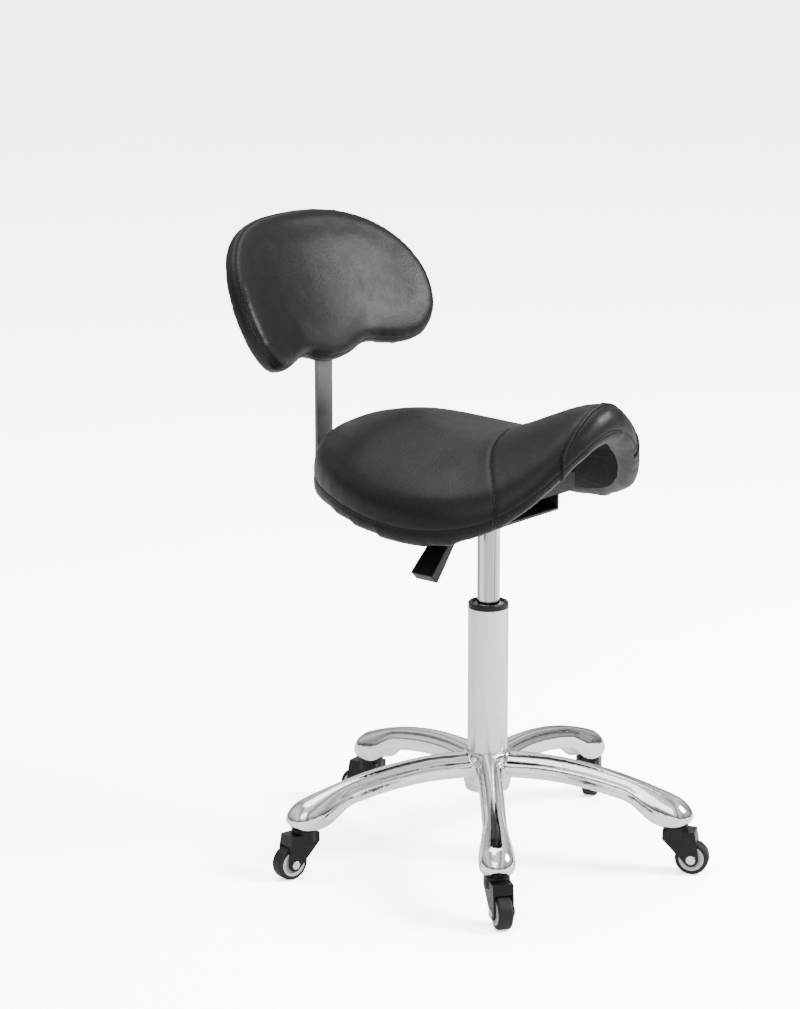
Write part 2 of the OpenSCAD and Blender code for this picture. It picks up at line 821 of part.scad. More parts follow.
base_star();
column_tube();
column_ring();
guide_bush();
column_end_plate();
bearing_lower_race();
bearing_balls();
caster_stem(0);  // caster_stem_1
caster_stem(1);  // caster_stem_2
caster_stem(2);  // caster_stem_3
caster_stem(3);  // caster_stem_4
caster_stem(4);  // caster_stem_5
piston_rod();
piston_head();
bearing_upper_race();
retaining_clip();
gas_cylinder();
gas_seal();
valve_pin();
seat_plate();
plate_bolts();
plate_nuts();
seat_shell();
seat_cushion();
seat_dust_cover();
bar_guide();
bar_guide_screws();
lever_pivot_pin();
lever_arm();
lever_paddle();
back_bar();
depth_knob();
depth_knob_stud();
backrest_board();
backrest_cushion();
backrest_cover();
height_bracket();
bracket_screws();
height_knob();
height_knob_stud();
caster_fork(0);  // caster_fork_1
caster_axle(0);  // caster_axle_1
wheel_core(0);  // wheel_core_1
wheel_tyre(0);  // wheel_tyre_1
caster_fork(1);  // caster_fork_2
caster_axle(1);  // caster_axle_2
wheel_core(1);  // wheel_core_2
wheel_tyre(1);  // wheel_tyre_2
caster_fork(2);  // caster_fork_3
caster_axle(2);  // caster_axle_3
wheel_core(2);  // wheel_core_3
wheel_tyre(2);  // wheel_tyre_3
caster_fork(3);  // caster_fork_4
caster_axle(3);  // caster_axle_4
wheel_core(3);  // wheel_core_4
wheel_tyre(3);  // wheel_tyre_4
caster_fork(4);  // caster_fork_5
caster_axle(4);  // caster_axle_5
wheel_core(4);  // wheel_core_5
wheel_tyre(4);  // wheel_tyre_5
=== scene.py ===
import math

import bmesh
import bpy
from mathutils import Matrix, Vector
from mathutils.bvhtree import BVHTree
from mathutils.kdtree import KDTree
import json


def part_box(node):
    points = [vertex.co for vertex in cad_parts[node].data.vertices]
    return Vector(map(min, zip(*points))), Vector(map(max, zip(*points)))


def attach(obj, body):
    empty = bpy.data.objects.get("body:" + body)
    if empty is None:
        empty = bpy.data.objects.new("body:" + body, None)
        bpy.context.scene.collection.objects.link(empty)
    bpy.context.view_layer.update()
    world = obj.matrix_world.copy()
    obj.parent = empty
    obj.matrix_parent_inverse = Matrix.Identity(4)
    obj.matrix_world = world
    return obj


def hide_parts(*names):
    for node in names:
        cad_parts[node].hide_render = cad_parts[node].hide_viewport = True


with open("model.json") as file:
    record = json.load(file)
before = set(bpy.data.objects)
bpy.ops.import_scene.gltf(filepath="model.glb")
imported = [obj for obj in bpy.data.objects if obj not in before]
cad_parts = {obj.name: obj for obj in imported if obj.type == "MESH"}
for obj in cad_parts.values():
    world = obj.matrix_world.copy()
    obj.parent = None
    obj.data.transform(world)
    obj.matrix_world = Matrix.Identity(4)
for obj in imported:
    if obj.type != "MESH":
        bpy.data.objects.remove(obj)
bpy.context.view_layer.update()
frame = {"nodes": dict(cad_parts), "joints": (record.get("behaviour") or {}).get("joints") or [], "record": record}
nodes = frame["nodes"]
record = frame["record"]
joints = {joint["name"]: joint for joint in frame["joints"]}
slots = {part["node"]: part["material_slot"] for part in record["subparts"]}
body_of = {
    node: body for body, group in record["behaviour"]["bodies"].items() for node in group
}
mm = 0.001


# ---------- Materials ----------


def material(name, colour, roughness, patch=14, contrast=0.18, spread=0.05, grain=(1, 1, 1),
             bumps=(), **inputs):
    """A finish whose colour and roughness drift over the surface. The grain stretches the
    colour along each axis. Each bump is (kind, cells per metre, depth in metres) with an
    optional stretch along each axis."""
    made = bpy.data.materials.new(name)
    made.use_nodes = True
    nodes_, links = made.node_tree.nodes, made.node_tree.links
    surface = nodes_["Principled BSDF"]
    for key, value in inputs.items():
        surface.inputs[key.replace("_", " ")].default_value = value
    place = nodes_.new("ShaderNodeTexCoord").outputs["Object"]

    def texture(kind, scale, stretch):
        mapping = nodes_.new("ShaderNodeMapping")
        mapping.inputs["Scale"].default_value = stretch
        links.new(place, mapping.inputs["Vector"])
        pattern = nodes_.new("ShaderNodeTexVoronoi" if kind == "cells" else "ShaderNodeTexNoise")
        pattern.inputs["Scale"].default_value = scale
        if kind != "cells":
            pattern.inputs["Detail"].default_value = 5
        links.new(mapping.outputs["Vector"], pattern.inputs["Vector"])
        return pattern.outputs[0]

    drift = texture("noise", patch, grain)
    ramp = nodes_.new("ShaderNodeValToRGB")
    ramp.color_ramp.elements[0].position = 0.3
    ramp.color_ramp.elements[1].position = 0.7
    for element, gain in zip(ramp.color_ramp.elements, (1 - contrast, 1 + contrast)):
        element.color = [min(1, part * gain) for part in colour] + [1]
    links.new(drift, ramp.inputs["Fac"])
    links.new(ramp.outputs["Color"], surface.inputs["Base Color"])
    range_ = nodes_.new("ShaderNodeMapRange")
    range_.inputs["From Min"].default_value = 0.3
    range_.inputs["From Max"].default_value = 0.7
    range_.inputs["To Min"].default_value = max(0.02, roughness - spread)
    range_.inputs["To Max"].default_value = min(1, roughness + spread)
    links.new(texture("noise", patch * 5, (1, 1, 1)), range_.inputs["Value"])
    links.new(range_.outputs["Result"], surface.inputs["Roughness"])
    normal = None
    for kind, scale, depth, *stretch in bumps:
        bump = nodes_.new("ShaderNodeBump")
        bump.inputs["Strength"].default_value = 1
        bump.inputs["Distance"].default_value = depth
        links.new(texture(kind, scale, stretch[0] if stretch else (1, 1, 1)), bump.inputs["Height"])
        if normal:
            links.new(normal, bump.inputs["Normal"])
        normal = bump.outputs["Normal"]
    if normal:
        links.new(normal, surface.inputs["Normal"])
    return made


finishes = {
    "polished_aluminium": material(
        "polished_aluminium", (0.90, 0.91, 0.92), 0.10, spread=0.04, contrast=0.03,
        bumps=[("noise", 30, 0.0010), ("noise", 900, 0.00001)], Metallic=1.0),
    "chrome_column": material(
        "chrome_column", (0.80, 0.81, 0.82), 0.30, patch=90, spread=0.04, contrast=0.07,
        grain=(1, 1, 0.05),
        bumps=[("noise", 700, 0.00001, (1, 1, 0.02))], Metallic=1.0),
    # painted reflection: this colour runs in strong vertical streaks, dark to bright, that stand in for the
    # surroundings mirrored in the gas cylinder's chrome
    "chrome_cylinder": material(
        "chrome_cylinder", (0.58, 0.59, 0.61), 0.14, patch=190, spread=0.03, contrast=0.75,
        grain=(1, 1, 0.004),
        bumps=[("noise", 900, 0.000008, (1, 1, 0.02))], Metallic=1.0),
    "satin_steel": material(
        "satin_steel", (0.17, 0.165, 0.16), 0.34, spread=0.06, contrast=0.12,
        bumps=[("noise", 900, 0.00004, (1, 0.03, 0.03))], Metallic=1.0),
    "zinc_steel": material(
        "zinc_steel", (0.62, 0.63, 0.65), 0.30, patch=60, bumps=[("noise", 500, 0.00003)],
        Metallic=1.0),
    "bright_steel": material(
        "bright_steel", (0.72, 0.73, 0.75), 0.16, patch=60, contrast=0.05,
        bumps=[("noise", 800, 0.00001, (1, 1, 0.1))], Metallic=1.0),
    "axle_steel": material(
        "axle_steel", (0.74, 0.75, 0.76), 0.20, patch=80, contrast=0.08,
        bumps=[("noise", 600, 0.00002)], Metallic=1.0),
    "dark_steel": material(
        "dark_steel", (0.12, 0.12, 0.13), 0.4, patch=60, bumps=[("noise", 500, 0.00003)],
        Metallic=0.7),
    "black_paint": material(
        "black_paint", (0.018, 0.018, 0.019), 0.42, patch=25,
        bumps=[("noise", 1100, 0.00008)]),
    "black_plastic": material(
        "black_plastic", (0.006, 0.006, 0.0065), 0.36, patch=30,
        bumps=[("noise", 1500, 0.00006), ("noise", 60, 0.0002)], Specular_IOR_Level=0.25),
    "caster_plastic": material(
        "caster_plastic", (0.005, 0.005, 0.0055), 0.34, patch=40,
        bumps=[("noise", 1600, 0.00005)], Specular_IOR_Level=0.25),
    "grey_plastic": material(
        "grey_plastic", (0.50, 0.51, 0.52), 0.38, patch=50, contrast=0.06,
        bumps=[("noise", 1500, 0.00004)]),
    "natural_plastic": material(
        "natural_plastic", (0.72, 0.70, 0.62), 0.45, patch=50, bumps=[("noise", 900, 0.00004)]),
    "black_rubber": material(
        "black_rubber", (0.012, 0.012, 0.012), 0.6, patch=50, bumps=[("noise", 900, 0.00006)]),
    "tyre_rubber": material(
        "tyre_rubber", (0.009, 0.009, 0.0095), 0.52, patch=45,
        bumps=[("noise", 1300, 0.0001), ("noise", 150, 0.0002)], Specular_IOR_Level=0.3),
    "plywood": material(
        "plywood", (0.52, 0.36, 0.20), 0.55, patch=9, contrast=0.3,
        bumps=[("noise", 260, 0.0003, (1, 0.05, 1))]),
    "black_cloth": material(
        "black_cloth", (0.005, 0.005, 0.0055), 0.85, patch=60,
        bumps=[("noise", 1400, 0.0001, (1, 0.3, 1)), ("noise", 1400, 0.0001, (0.3, 1, 1))],
        Specular_IOR_Level=0.1),
    "stained_plywood": material(
        "stained_plywood", (0.016, 0.014, 0.013), 0.5, patch=9, contrast=0.3,
        bumps=[("noise", 260, 0.0003, (1, 0.05, 1))]),
    "black_board": material(
        "black_board", (0.014, 0.014, 0.015), 0.55, patch=30, bumps=[("cells", 600, 0.0002)]),
    "black_leather": material(
        "black_leather", (0.0035, 0.0037, 0.0039), 0.42, patch=16, contrast=0.2, spread=0.03,
        bumps=[("noise", 18, 0.0009), ("cells", 620, 0.00012), ("noise", 1500, 0.00006)],
        Specular_IOR_Level=0.27),
    "seam_thread": material(
        "seam_thread", (0.02, 0.02, 0.021), 0.5, patch=300,
        bumps=[("noise", 2500, 0.0001)]),
}


# ---------- Building blocks ----------


def add(name, mesh, finish, body):
    """A new piece in one finish, moving with a body."""
    piece = bpy.data.objects.new(name, mesh)
    bpy.context.scene.collection.objects.link(piece)
    mesh.materials.clear()
    mesh.materials.append(finishes[finish])
    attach(piece, body)
    return piece


def mesh_of(name, points, faces, smooth=True):
    mesh = bpy.data.meshes.new(name)
    mesh.from_pydata([tuple(p) for p in points], [], faces)
    shade(mesh, smooth)
    return mesh


def shade(mesh, smooth=True):
    mesh.polygons.foreach_set("use_smooth", [smooth] * len(mesh.polygons))
    mesh.update()


def welded(node):
    """A CAD node's mesh with its vertices joined and its flat faces whole."""
    mesh = nodes[node].data.copy()
    work = bmesh.new()
    work.from_mesh(mesh)
    bmesh.ops.remove_doubles(work, verts=work.verts, dist=1e-6)
    bmesh.ops.dissolve_limit(
        work, angle_limit=math.radians(1), verts=work.verts, edges=work.edges)
    work.to_mesh(mesh)
    work.free()
    return mesh


def rounded(node, width, segments=3):
    """The CAD piece with its edges rounded off."""
    mesh = welded(node)
    mesh.name = node + "_edged"
    piece = add(node + "_edged", mesh, slots[node], body_of[node])
    shade(mesh)
    bevel = piece.modifiers.new("edges", "BEVEL")
    bevel.width = width
    bevel.segments = segments
    bevel.limit_method = "ANGLE"
    bevel.angle_limit = math.radians(32)
    bevel.harden_normals = False
    piece.modifiers.new("normals", "WEIGHTED_NORMAL").keep_sharp = True
    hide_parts(node)
    return piece


def settle(piece):
    """Turns the piece's modifiers into plain mesh."""
    made = bpy.data.meshes.new_from_object(
        piece.evaluated_get(bpy.context.evaluated_depsgraph_get()))
    piece.modifiers.clear()
    piece.data = made
    shade(made)
    return piece


def remesh(piece, voxel, smoothing):
    change = piece.modifiers.new("voxels", "REMESH")
    change.mode = "VOXEL"
    change.voxel_size = voxel
    soften = piece.modifiers.new("soften", "SMOOTH")
    soften.factor = 0.5
    soften.iterations = smoothing
    return settle(piece)


# ---------- Plain CAD pieces ----------

for node, thing in nodes.items():
    thing.data.materials.clear()
    thing.data.materials.append(finishes[slots[node]])

for node, width in {
    "back_bar": 1.2 * mm, "seat_plate": 0.8 * mm, "bar_guide": 0.8 * mm,
    "height_bracket": 0.6 * mm, "lever_arm": 0.6 * mm, "lever_paddle": 3.2 * mm,
    "depth_knob": 1.2 * mm, "height_knob": 1.2 * mm, "column_ring": 0.8 * mm,
    "plate_bolts": 0.4 * mm, "bar_guide_screws": 0.5 * mm, "bracket_screws": 0.5 * mm,
    "backrest_cover": 0.5 * mm,
}.items():
    rounded(node, width)
for n in range(1, 6):
    rounded("caster_fork_%d" % n, 1.1 * mm)
    rounded("caster_axle_%d" % n, 0.5 * mm)
    rounded("wheel_core_%d" % n, 0.4 * mm, 2)


# ---------- Base casting ----------


def lathe(profile, sides=96):
    """Points and faces of a closed profile of (radius, height) turned about Z."""
    points, faces = [], []
    count = len(profile)
    for i in range(sides):
        a = 2 * math.pi * i / sides
        points += [(r * math.cos(a), r * math.sin(a), z) for r, z in profile]
        for j in range(count):
            k, l = (i + 1) % sides * count, (j + 1) % count
            faces.append((i * count + j, i * count + l, k + l, k + j))
    return points, faces


def loft(rings):
    """Points and faces of closed rings joined in order, with both ends capped."""
    count = len(rings[0])
    points = [p for ring in rings for p in ring]
    faces = [
        (i * count + j, i * count + (j + 1) % count,
         (i + 1) * count + (j + 1) % count, (i + 1) * count + j)
        for i in range(len(rings) - 1) for j in range(count)
    ]
    faces.append(tuple(reversed(range(count))))
    faces.append(tuple(range((len(rings) - 1) * count, len(rings) * count)))
    return points, faces


def smooth(t):
    """0 up to 1, level at both ends."""
    t = min(1, max(0, t))
    return t * t * (3 - 2 * t)


def base_casting():
    """The five-legged casting, each leg swelling into a rounded end over its caster."""
    low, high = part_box("base_star")
    hub_top, boss_bottom = high.z, low.z
    hub_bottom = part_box("column_tube")[0].z - 2 * mm
    start, end_r = 27.5 * mm, 22 * mm
    # half sections of a leg and of its end, in mm: sideways from the middle, and the depth
    # below the top edge, or for the end the share of its whole depth
    leg = [(0, 0), (4, 0.4), (7.5, 2), (9.6, 5), (10.2, 8), (10.6, 9.6), (12.6, 10.4),
           (14.2, 12.5), (14.8, 18), (14.6, 24), (13.6, 29), (10.4, 29), (9.8, 14), (6, 10), (0, 9)]
    end = [(0, 0), (6, 0.02), (11, 0.08), (15, 0.17), (18, 0.28), (20, 0.39), (21.3, 0.5),
           (22, 0.62), (21.9, 0.74), (21, 0.86), (18, 1), (13, 1), (9, 1), (5, 1), (0, 1)]
    shapes = []
    for n in range(1, 6):
        stem = Vector(joints["caster_swivel_%d" % n]["pos_m"])
        reach = math.hypot(stem.x, stem.y)
        out = Vector((stem.x, stem.y, 0)) / reach
        side = Vector((-out.y, out.x, 0))
        rings = []
        steps = [start + (reach - start) * i / 40 for i in range(41)]
        steps += [reach + end_r * math.sin(math.pi / 2 * i / 10) for i in range(1, 11)]
        for s in steps:
            top = hub_top - 1 * mm - 1.08 * max(0, s - 0.05) ** 2
            widen = 1 + 0.2 * math.exp(-(((s - 0.030) / 0.035) ** 2))
            swollen = smooth((s - 0.178) / 0.052)
            depth = (top - boss_bottom) / mm
            close = math.sqrt(max(0.0004, 1 - (max(0, s - reach) / end_r) ** 2))
            centre = depth * 0.6
            half = []
            for (x, z), (end_x, end_z) in zip(leg, end):
                x = x * widen * (1 - swollen) + end_x * swollen
                z = z * (1 - swollen) + end_z * depth * swollen
                half.append((x * close, centre + (z - centre) * close if close < 1 else z))
            outline = half + [(-x, z) for x, z in reversed(half[1:-1])]
            rings.append([out * s + side * (x * mm) + Vector((0, 0, top - z * mm))
                          for x, z in outline])
        shapes.append(loft(rings))
        boss_top = boss_bottom + 12 * mm
        boss, faces = lathe([(0.1 * mm, boss_bottom), (16 * mm, boss_bottom),
                             (18 * mm, boss_top), (0.1 * mm, boss_top)], 48)
        shapes.append(([Vector(p) + out * reach for p in boss], faces))
    shapes.append(lathe([
        (21 * mm, hub_bottom), (27 * mm, hub_bottom), (29.4 * mm, hub_bottom + 10 * mm),
        (30.2 * mm, hub_bottom + 30 * mm), (30 * mm, hub_top - 7 * mm), (28.6 * mm, hub_top),
        (25.2 * mm, hub_top), (25.2 * mm, hub_bottom + 2 * mm), (21 * mm, hub_bottom + 2 * mm)]))
    points, faces = [], []
    for some, these in shapes:
        faces += [tuple(len(points) + i for i in face) for face in these]
        points += some
    mesh = mesh_of("base_casting", points, faces)
    work = bmesh.new()
    work.from_mesh(mesh)
    bmesh.ops.recalc_face_normals(work, faces=work.faces)
    work.to_mesh(mesh)
    work.free()
    piece = add("base_casting", mesh, "polished_aluminium", "base")
    remesh(piece, 1.6 * mm, 4)
    piece.data.materials.clear()
    piece.data.materials.append(finishes["polished_aluminium"])
    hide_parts("base_star")


base_casting()


# ---------- Upholstery ----------


def push(piece, distance):
    """Moves every point along its normal by distance(point, normal)."""
    vertices = piece.data.vertices
    places = [(v.co.copy(), v.normal.copy()) for v in vertices]
    for v, (spot, normal) in zip(vertices, places):
        v.co = spot + normal * distance(spot, normal)
    piece.data.update()


def soft_copy(node, voxel, growth):
    """A CAD cushion as an even mesh, grown by what its smoothing takes away."""
    piece = add(node.replace("cushion", "upholstery"), welded(node), "black_leather",
                body_of[node])
    remesh(piece, voxel, 6)
    push(piece, lambda spot, normal: growth)
    return piece


def calm(piece, chosen, rounds):
    """Smooths only the chosen part of the cover."""
    group = piece.vertex_groups.new(name="calm")
    group.add([v.index for v in piece.data.vertices if chosen(v)], 1.0, "REPLACE")
    soften = piece.modifiers.new("calm", "SMOOTH")
    soften.factor = 0.5
    soften.iterations = rounds
    soften.vertex_group = group.name
    settle(piece)
    piece.vertex_groups.clear()
    piece.data.materials.clear()
    piece.data.materials.append(finishes["black_leather"])


def swell(piece, held, cap):
    """Blows the cover up like stuffed leather, held along its seams and underside, and
    stretches it taut so that only faint wrinkles stay."""
    start = [v.co.copy() for v in piece.data.vertices]
    group = piece.vertex_groups.new(name="held")
    group.add([v.index for v in piece.data.vertices if held(v)], 1.0, "REPLACE")
    cloth = piece.modifiers.new("cloth", "CLOTH")
    cloth.settings.quality = 4
    cloth.settings.use_pressure = True
    cloth.settings.uniform_pressure_force = 4.0
    cloth.settings.vertex_group_mass = group.name
    cloth.settings.effector_weights.gravity = 0
    moments = 20
    cloth.point_cache.frame_start, cloth.point_cache.frame_end = 1, moments
    scene = bpy.context.scene
    for moment in range(1, moments + 1):
        scene.frame_set(moment)
    settled = piece.evaluated_get(bpy.context.evaluated_depsgraph_get()).data
    steps = [v.co - a for v, a in zip(settled.vertices, start)]
    piece.modifiers.clear()
    piece.vertex_groups.clear()
    scene.frame_set(1)
    joined = [[] for _ in steps]
    for edge in piece.data.edges:
        one, other = edge.vertices
        joined[one].append(other)
        joined[other].append(one)
    normals = [v.normal.copy() for v in piece.data.vertices]
    rise = [min(cap, max(0.0, step.dot(normal))) for step, normal in zip(steps, normals)]
    taut = rise
    for _ in range(14):
        taut = [(2 * own + sum(taut[k] for k in near)) / (2 + len(near))
                for own, near in zip(taut, joined)]
    for v, a, normal, even, own in zip(piece.data.vertices, start, normals, taut, rise):
        v.co = a + normal * (even + (own - even) * 0.12)
    piece.data.update()


def refine(piece):
    """One subdivision, with the last ripples smoothed away."""
    soften = piece.modifiers.new("soften", "SMOOTH")
    soften.factor = 0.5
    soften.iterations = 3
    piece.modifiers.new("finer", "SUBSURF").levels = 1
    settle(piece)
    piece.data.materials.clear()
    piece.data.materials.append(finishes["black_leather"])


def surface_of(piece):
    """The piece's faces, ready to be searched."""
    mesh = piece.data
    return BVHTree.FromPolygons([v.co for v in mesh.vertices], [p.vertices for p in mesh.polygons])


def on_surface(tree, guide, closed=False):
    """Guide points pulled onto a surface and evenly spaced, as (point, normal) pairs."""
    found = [tree.find_nearest(p)[0] for p in guide]
    if closed:
        found.append(found[0])
    spots, step = [found[0]], 2.5 * mm
    for p in found[1:]:
        while (p - spots[-1]).length >= step:
            spots.append(spots[-1] + (p - spots[-1]).normalized() * step)
    for _ in range(4):
        spots = ([spots[0]] + [(a + 2 * b + c) / 4 for a, b, c in
                               zip(spots, spots[1:], spots[2:])] + [spots[-1]])
    return [tree.find_nearest(p)[:2] for p in spots]


def crease(piece, paths, depth, reach):
    """Sinks the cover along its seams."""
    marks = [spot for path in paths for spot, _ in path]
    near = KDTree(len(marks))
    for i, spot in enumerate(marks):
        near.insert(spot, i)
    near.balance()
    push(piece, lambda spot, normal: -depth * math.exp(-((near.find(spot)[2] / reach) ** 2)))


def thread_mesh(name, runs, radius, sides=8):
    """Round threads along runs of (point, normal), each with closed ends."""
    points, faces = [], []
    for run in runs:
        rings = []
        for i, (spot, normal) in enumerate(run):
            ahead = (run[min(i + 1, len(run) - 1)][0] - run[max(i - 1, 0)][0]).normalized()
            across = ahead.cross(normal).normalized()
            up = across.cross(ahead)
            rings.append([
                spot + radius * (math.cos(a) * across + math.sin(a) * up)
                for a in (2 * math.pi * k / sides for k in range(sides))])
        some, these = loft(rings)
        faces += [tuple(len(points) + i for i in face) for face in these]
        points += some
    return mesh_of(name, points, faces)


def piping(name, path, radius, body):
    """A rolled leather edge that stands half out of the cover."""
    add(name, thread_mesh(name, [[(p + n * radius * 0.3, n) for p, n in path]], radius),
        "black_leather", body)


def stitches(name, paths, aside, body):
    """Rows of short stitches beside each seam."""
    runs = []
    for path, offset in ((path, offset) for path in paths for offset in aside):
        line = []
        for i, (spot, normal) in enumerate(path):
            ahead = path[min(i + 1, len(path) - 1)][0] - path[max(i - 1, 0)][0]
            line.append((spot + ahead.cross(normal).normalized() * offset, normal))
        for (a, n), (b, _) in zip(line[::2], line[1::2]):
            runs.append([(a + (b - a) * t + n * lift * mm, n) for t, lift in
                         ((0, -0.3), (0.25, 0.25), (0.75, 0.25), (1, -0.3))])
    add(name, thread_mesh(name, runs, 0.35 * mm, 6), "seam_thread", body)


# ---------- Seat ----------

seat_low, seat_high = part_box("seat_cushion")
seat_half = (seat_high.x - seat_low.x) / 2
cad_surface = surface_of(nodes["seat_cushion"])
rim_height = 15 * mm


def in_seat(x, y):
    """How far out a point of the plan lies: 1 at the seat's edge."""
    return math.hypot(x / seat_half, y / (-seat_low.y if y < 0 else seat_high.y))


def underside(x, y):
    """Height of the flap's underside near a point of the plan."""
    pull = min(1, 0.93 / max(in_seat(x, y), 1e-6))
    hit = cad_surface.ray_cast(Vector((x * pull, y * pull, 0)), Vector((0, 0, 1)))[0]
    return hit.z if hit else seat_low.z


def cross_seam(x):
    """Where the seam between the two top panels runs, sweeping forward down each flap."""
    return -0.042 - 0.076 * (abs(x) / 0.135) ** 2.2


def nose_seam(x):
    """Where the seam behind the pommel's front runs."""
    return seat_low.y + 0.018 + 0.4 * x * x


def seam_over_seat(y_of):
    """Guide over the saddle from the edge of one flap to the other."""
    edge = 0.0
    while in_seat(edge, y_of(edge)) < 0.985:
        edge += 1 * mm
    top = [cad_surface.ray_cast(Vector((x, y_of(x), 1)), Vector((0, 0, -1)))[0]
           for x in (edge * (k / 40 - 1) for k in range(81))]
    drop = [underside(edge, y_of(edge)) + 3 * mm - top[0].z, 0]
    return ([top[0] + Vector((0, 0, drop[0] * (1 - k / 8))) for k in range(8)] + top
            + [top[-1] + Vector((0, 0, drop[0] * k / 8)) for k in range(1, 9)])


def rim_guide(height):
    """Guide round the seat's side, a given height above the flap's underside."""
    guide = []
    for k in range(180):
        a = 2 * math.pi * k / 180
        x = seat_half * math.cos(a)
        y = math.sin(a) * (-seat_low.y if math.sin(a) < 0 else seat_high.y)
        guide.append(Vector((x, y, underside(x, y) + height)))
    return guide


def seat_held(v):
    """The seat's underside and seams, which the swelling leaves in place."""
    x, y, z = v.co
    if v.normal.z < -0.4 or in_seat(x, y) < 0.8 and z < seat_low.z + 0.02:
        return True
    return (abs(y - cross_seam(x)) < 3 * mm or abs(y - nose_seam(x)) < 3 * mm
            or in_seat(x, y) > 0.93 and abs(z - underside(x, y) - rim_height) < 2.5 * mm)


seat = soft_copy("seat_cushion", 5 * mm, 1.2 * mm)
push(seat, lambda spot, normal: 5.5 * mm * max(0, -normal.z))
calm(seat, lambda v: v.normal.z < -0.1 and v.co.y < -0.07, 45)
calm(seat, lambda v: v.normal.z < -0.3, 14)
swell(seat, seat_held, 2.5 * mm)
refine(seat)
skin = surface_of(seat)
seat_cross = on_surface(skin, seam_over_seat(cross_seam))
seat_nose = on_surface(skin, seam_over_seat(nose_seam))
seat_rim = on_surface(skin, rim_guide(rim_height), closed=True)
crease(seat, [seat_cross, seat_nose, seat_rim], 1.2 * mm, 3 * mm)
skin = surface_of(seat)
seat_cross, seat_nose, seat_rim = (
    on_surface(skin, [p for p, _ in path]) for path in (seat_cross, seat_nose, seat_rim))
piping("seat_nose_piping", seat_nose, 2.3 * mm, "seat")
piping("seat_cross_piping", seat_cross, 0.8 * mm, "seat")
piping("seat_rim_piping", seat_rim, 0.8 * mm, "seat")
stitches("seat_stitches", [seat_cross, seat_nose, seat_rim], (3.2 * mm, -3.2 * mm), "seat")
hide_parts("seat_cushion")


# ---------- Backrest ----------

up = Vector(joints["back_height"]["axis"])
facing = -Vector(joints["height_knob_turn"]["axis"])
pivot = Vector(joints["height_knob_turn"]["pos_m"])
wrap = 0.425
to_back = Matrix((Vector((1, 0, 0)), up, facing))


def back_place(p):
    """Across, up and forward in the backrest's own frame, with the wrap taken out."""
    q = to_back @ (p - pivot)
    forward = q.z - 2.5 * mm
    return q.x, q.y, wrap - math.hypot(q.x, wrap - forward)


back_levels = [back_place(v.co)[2] for v in nodes["backrest_cushion"].data.vertices]
back_ups = [back_place(v.co)[1] for v in nodes["backrest_cushion"].data.vertices]
back_rear = min(back_levels)
back_middle = (min(back_ups) + max(back_ups)) / 2
rear_seam, front_seam = back_rear + 6 * mm, back_rear + 19 * mm


def back_held(v):
    """The backrest's rear and seams, which the swelling leaves in place."""
    x, y, level = back_place(v.co)
    facing_back = (to_back @ v.normal).z < -0.5
    return facing_back or abs(level - rear_seam) < 2.2 * mm or abs(level - front_seam) < 2.2 * mm


def level_ring(piece, level, bins=150):
    """Guide round the backrest's edge at one level, from the cover's own points."""
    sums = {}
    for v in piece.data.vertices:
        x, y, at = back_place(v.co)
        if abs(at - level) < 2.5 * mm and abs((to_back @ v.normal).z) < 0.93 \
                and math.hypot(x, (y - back_middle) * 1.6) > 0.07:
            key = int((math.atan2(y - back_middle, x) / math.pi + 1) / 2 * bins) % bins
            sums.setdefault(key, []).append(v.co)
    return [sum(group, Vector()) / len(group) for _, group in sorted(sums.items())]


def rear_rim():
    """Guide round the edge of the rear panel."""
    rim = []
    for v in nodes["backrest_cover"].data.vertices:
        x, y, level = back_place(v.co)
        if level < back_rear + 0.3 * mm and math.hypot(x, (y - back_middle) * 1.6) > 0.07:
            rim.append((math.atan2(y - back_middle, x), v.co.copy()))
    return [spot for _, spot in sorted(rim, key=lambda item: item[0])]


back = soft_copy("backrest_cushion", 4.5 * mm, 0.5 * mm)
swell(back, back_held, 3 * mm)
refine(back)
back_paths = [
    on_surface(surface_of(back), level_ring(back, level), closed=True)
    for level in (rear_seam, front_seam)]
crease(back, back_paths, 1.2 * mm, 3 * mm)
skin = surface_of(back)
back_paths = [on_surface(skin, [p for p, _ in path]) for path in back_paths]
piping("backrest_rear_piping", back_paths[0], 1.2 * mm, "backrest")
piping("backrest_front_piping", back_paths[1], 0.8 * mm, "backrest")
panel_edge = on_surface(surface_of(nodes["backrest_cushion"]), rear_rim(), closed=True)
piping("backrest_panel_welt", [(spot + facing * 1.2 * mm, -facing) for spot, _ in panel_edge],
       2 * mm, "backrest")
stitches("backrest_stitches", [back_paths[1]], (3.2 * mm, -3.2 * mm), "backrest")
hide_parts("backrest_cushion")


# ---------- Studio ----------


def seen(links, new, plain, shown):
    """A strength that is one value where it lights the stool and another to the eye."""
    switch = new("ShaderNodeMapRange")
    switch.inputs["To Min"].default_value = plain
    switch.inputs["To Max"].default_value = shown
    links.new(new("ShaderNodeLightPath").outputs["Is Camera Ray"], switch.inputs["Value"])
    return switch.outputs["Result"]


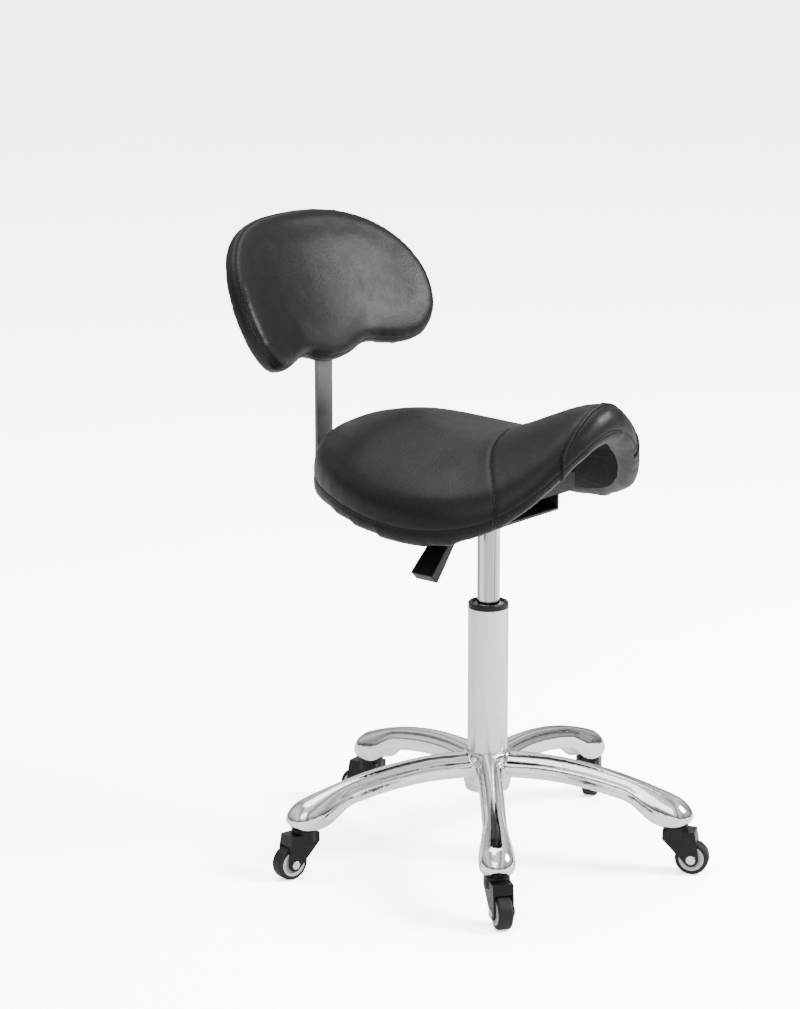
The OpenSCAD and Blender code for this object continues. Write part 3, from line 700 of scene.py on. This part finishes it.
def studio():
    """A pale floor, a pale surround with a few grey cards, and three soft lights."""
    floor_mesh = mesh_of(
        "floor", [(-40, -40, 0), (40, -40, 0), (40, 40, 0), (-40, 40, 0)], [(0, 1, 2, 3)])
    white = material(
        "floor_white", (0.80, 0.80, 0.80), 0.9, patch=0.6, contrast=0.01,
        bumps=[("noise", 40, 0.0001)], Specular_IOR_Level=0.1, Emission_Color=(1, 1, 1, 1))
    tree = white.node_tree
    surface = tree.nodes["Principled BSDF"]
    tree.links.new(seen(tree.links, tree.nodes.new, 0.15, 1.2), surface.inputs["Emission Strength"])
    tree.links.new(seen(tree.links, tree.nodes.new, 0.8, 5.0), surface.inputs["Base Color"])
    floor_mesh.materials.append(white)
    floor = bpy.data.objects.new("floor", floor_mesh)
    bpy.context.scene.collection.objects.link(floor)

    world = bpy.data.worlds.new("studio")
    bpy.context.scene.world = world
    world.use_nodes = True
    nodes_, links = world.node_tree.nodes, world.node_tree.links
    way = nodes_.new("ShaderNodeTexCoord")
    split = nodes_.new("ShaderNodeSeparateXYZ")
    ramp = nodes_.new("ShaderNodeValToRGB")
    ramp.color_ramp.elements[0].position = 0.0
    ramp.color_ramp.elements[0].color = (0.25, 0.25, 0.26, 1)
    ramp.color_ramp.elements[1].position = 0.75
    ramp.color_ramp.elements[1].color = (1, 1, 1, 1)
    for at, grey in ((0.06, 0.10), (0.16, 0.55), (0.4, 0.9)):
        ramp.color_ramp.elements.new(at).color = (grey, grey, grey, 1)
    links.new(way.outputs["Generated"], split.inputs["Vector"])
    links.new(split.outputs["Z"], ramp.inputs["Fac"])
    across = nodes_.new("ShaderNodeVectorMath")
    across.operation = "DOT_PRODUCT"
    across.inputs[1].default_value = (0.64, -0.77, 0)
    links.new(way.outputs["Generated"], across.inputs[0])
    spread = nodes_.new("ShaderNodeMapRange")
    spread.inputs["From Min"].default_value = -1
    links.new(across.outputs["Value"], spread.inputs["Value"])
    cards = nodes_.new("ShaderNodeValToRGB")
    cards.color_ramp.elements[0].color = (0.5, 0.5, 0.5, 1)
    cards.color_ramp.elements[1].color = (0.9, 0.9, 0.9, 1)
    for at, grey in ((0.12, 1.0), (0.26, 0.35), (0.40, 1.0), (0.55, 1.0), (0.62, 0.25),
                     (0.72, 1.0), (0.88, 0.4)):
        cards.color_ramp.elements.new(at).color = (grey, grey, grey, 1)
    links.new(spread.outputs["Result"], cards.inputs["Fac"])
    both = nodes_.new("ShaderNodeVectorMath")
    both.operation = "MULTIPLY"
    links.new(ramp.outputs["Color"], both.inputs[0])
    links.new(cards.outputs["Color"], both.inputs[1])
    links.new(both.outputs["Vector"], nodes_["Background"].inputs["Color"])
    nodes_["Background"].inputs["Strength"].default_value = 1.1
    backdrop = nodes_.new("ShaderNodeBackground")
    backdrop.inputs["Color"].default_value = (1, 1, 1, 1)
    backdrop.inputs["Strength"].default_value = 4.0
    pick = nodes_.new("ShaderNodeMixShader")
    links.new(nodes_.new("ShaderNodeLightPath").outputs["Is Camera Ray"], pick.inputs[0])
    links.new(nodes_["Background"].outputs[0], pick.inputs[1])
    links.new(backdrop.outputs[0], pick.inputs[2])
    links.new(pick.outputs[0], nodes_["World Output"].inputs["Surface"])

    for name, place, size, power in (
            ("key", (1.25, -2.2, 2.1), 1.1, 140), ("fill", (-2.6, -1.0, 1.8), 1.6, 22),
            ("top", (0.1, 0.6, 3.2), 2.4, 60)):
        light = bpy.data.lights.new(name, "AREA")
        light.size, light.energy = size, power
        lamp = bpy.data.objects.new(name, light)
        lamp.location = place
        lamp.rotation_mode = "QUATERNION"
        lamp.rotation_quaternion = (Vector((0, 0, 0.35)) - Vector(place)).to_track_quat("-Z", "Y")
        bpy.context.scene.collection.objects.link(lamp)


def camera():
    """Looks from the sitter's front right, slightly down."""
    turn, pitch = math.radians(50), 0.257195
    right = Vector((math.cos(turn), -math.sin(turn), 0))
    away = Vector((math.sin(turn), math.cos(turn), 0))
    forward = away * math.cos(pitch) - Vector((0, 0, math.sin(pitch)))
    lens = bpy.data.cameras.new("camera")
    lens.sensor_fit = "AUTO"
    lens.sensor_width = 36
    lens.lens = 128.41
    lens.clip_end = 200
    made = bpy.data.objects.new("camera", lens)
    aside, distance, height = -0.10847, 4.24255, 1.56526
    place = right * aside - away * distance + Vector((0, 0, height))
    aim = Matrix((right, right.cross(forward), -forward)).transposed()
    made.matrix_world = Matrix.Translation(place) @ aim.to_4x4()
    bpy.context.scene.collection.objects.link(made)
    bpy.context.scene.camera = made


studio()
camera()
